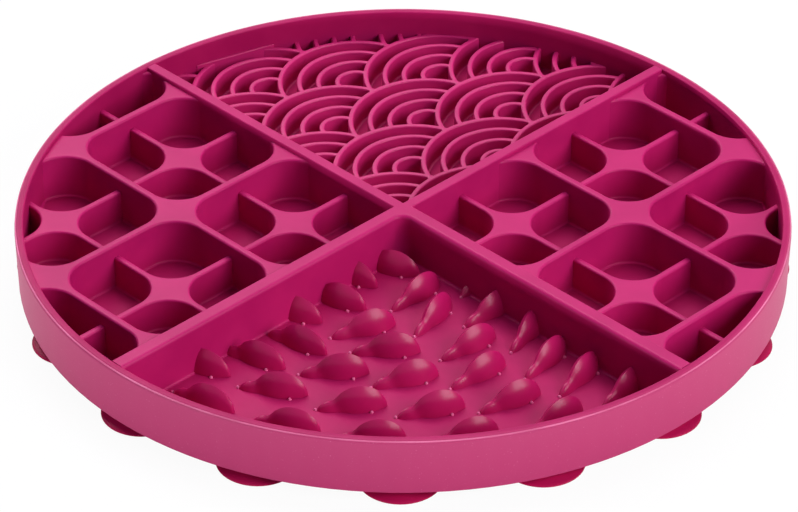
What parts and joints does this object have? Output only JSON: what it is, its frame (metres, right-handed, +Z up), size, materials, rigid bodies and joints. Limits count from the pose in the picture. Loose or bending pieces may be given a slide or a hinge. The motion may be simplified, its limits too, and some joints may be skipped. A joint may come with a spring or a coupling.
{
  "type": "lick mat",
  "caption": "Round rubber lick mat on suction cups, with a low rim and crossed ribs that part it into pocket grids, fish-scale ridges and comma-shaped nubs for soft pet food.",
  "frame": {"origin": "middle of the mat, on the plane of the suction cups' lips", "axes": "+X and +Y along the two ribs that border the fish-scale field, +Z up out of the tray"},
  "size_m": [0.2012, 0.2012, 0.0185],
  "materials": {
    "mat_rubber": "satin moulded silicone, raspberry pink",
    "cup_rubber": "smooth glossier silicone, deeper raspberry red"
  },
  "bodies": {
    "plate": {"tray": "mat_rubber", "divider_cross": "mat_rubber", "pocket_grid_left": "mat_rubber", "pocket_grid_right": "mat_rubber", "pocket_crosses_left": "mat_rubber", "pocket_crosses_right": "mat_rubber", "scale_ridges": "mat_rubber", "lick_nubs": "mat_rubber"},
    "cup_01": {"suction_cup_01": "cup_rubber"},
    "cup_02": {"suction_cup_02": "cup_rubber"},
    "cup_03": {"suction_cup_03": "cup_rubber"},
    "cup_04": {"suction_cup_04": "cup_rubber"},
    "cup_05": {"suction_cup_05": "cup_rubber"},
    "cup_06": {"suction_cup_06": "cup_rubber"},
    "cup_07": {"suction_cup_07": "cup_rubber"},
    "cup_08": {"suction_cup_08": "cup_rubber"},
    "cup_09": {"suction_cup_09": "cup_rubber"},
    "cup_10": {"suction_cup_10": "cup_rubber"},
    "cup_11": {"suction_cup_11": "cup_rubber"},
    "cup_12": {"suction_cup_12": "cup_rubber"},
    "cup_13": {"suction_cup_13": "cup_rubber"},
    "cup_14": {"suction_cup_14": "cup_rubber"},
    "cup_15": {"suction_cup_15": "cup_rubber"},
    "cup_16": {"suction_cup_16": "cup_rubber"}
  },
  "joints": [
    {"name": "cup_01_press", "type": "slide", "parent": "plate", "child": "cup_01", "axis": [0, 0, 1], "range_m": [0, 0.0015], "stiffness_N_per_m": 2500, "deforming": ["suction_cup_01"]},
    {"name": "cup_02_press", "type": "slide", "parent": "plate", "child": "cup_02", "axis": [0, 0, 1], "range_m": [0, 0.0015], "stiffness_N_per_m": 2500, "deforming": ["suction_cup_02"]},
    {"name": "cup_03_press", "type": "slide", "parent": "plate", "child": "cup_03", "axis": [0, 0, 1], "range_m": [0, 0.0015], "stiffness_N_per_m": 2500, "deforming": ["suction_cup_03"]},
    {"name": "cup_04_press", "type": "slide", "parent": "plate", "child": "cup_04", "axis": [0, 0, 1], "range_m": [0, 0.0015], "stiffness_N_per_m": 2500, "deforming": ["suction_cup_04"]},
    {"name": "cup_05_press", "type": "slide", "parent": "plate", "child": "cup_05", "axis": [0, 0, 1], "range_m": [0, 0.0015], "stiffness_N_per_m": 2500, "deforming": ["suction_cup_05"]},
    {"name": "cup_06_press", "type": "slide", "parent": "plate", "child": "cup_06", "axis": [0, 0, 1], "range_m": [0, 0.0015], "stiffness_N_per_m": 2500, "deforming": ["suction_cup_06"]},
    {"name": "cup_07_press", "type": "slide", "parent": "plate", "child": "cup_07", "axis": [0, 0, 1], "range_m": [0, 0.0015], "stiffness_N_per_m": 2500, "deforming": ["suction_cup_07"]},
    {"name": "cup_08_press", "type": "slide", "parent": "plate", "child": "cup_08", "axis": [0, 0, 1], "range_m": [0, 0.0015], "stiffness_N_per_m": 2500, "deforming": ["suction_cup_08"]},
    {"name": "cup_09_press", "type": "slide", "parent": "plate", "child": "cup_09", "axis": [0, 0, 1], "range_m": [0, 0.0015], "stiffness_N_per_m": 2500, "deforming": ["suction_cup_09"]},
    {"name": "cup_10_press", "type": "slide", "parent": "plate", "child": "cup_10", "axis": [0, 0, 1], "range_m": [0, 0.0015], "stiffness_N_per_m": 2500, "deforming": ["suction_cup_10"]},
    {"name": "cup_11_press", "type": "slide", "parent": "plate", "child": "cup_11", "axis": [0, 0, 1], "range_m": [0, 0.0015], "stiffness_N_per_m": 2500, "deforming": ["suction_cup_11"]},
    {"name": "cup_12_press", "type": "slide", "parent": "plate", "child": "cup_12", "axis": [0, 0, 1], "range_m": [0, 0.0015], "stiffness_N_per_m": 2500, "deforming": ["suction_cup_12"]},
    {"name": "cup_13_press", "type": "slide", "parent": "plate", "child": "cup_13", "axis": [0, 0, 1], "range_m": [0, 0.0015], "stiffness_N_per_m": 2500, "deforming": ["suction_cup_13"]},
    {"name": "cup_14_press", "type": "slide", "parent": "plate", "child": "cup_14", "axis": [0, 0, 1], "range_m": [0, 0.0015], "stiffness_N_per_m": 2500, "deforming": ["suction_cup_14"]},
    {"name": "cup_15_press", "type": "slide", "parent": "plate", "child": "cup_15", "axis": [0, 0, 1], "range_m": [0, 0.0015], "stiffness_N_per_m": 2500, "deforming": ["suction_cup_15"]},
    {"name": "cup_16_press", "type": "slide", "parent": "plate", "child": "cup_16", "axis": [0, 0, 1], "range_m": [0, 0.0015], "stiffness_N_per_m": 2500, "deforming": ["suction_cup_16"]}
  ]
}
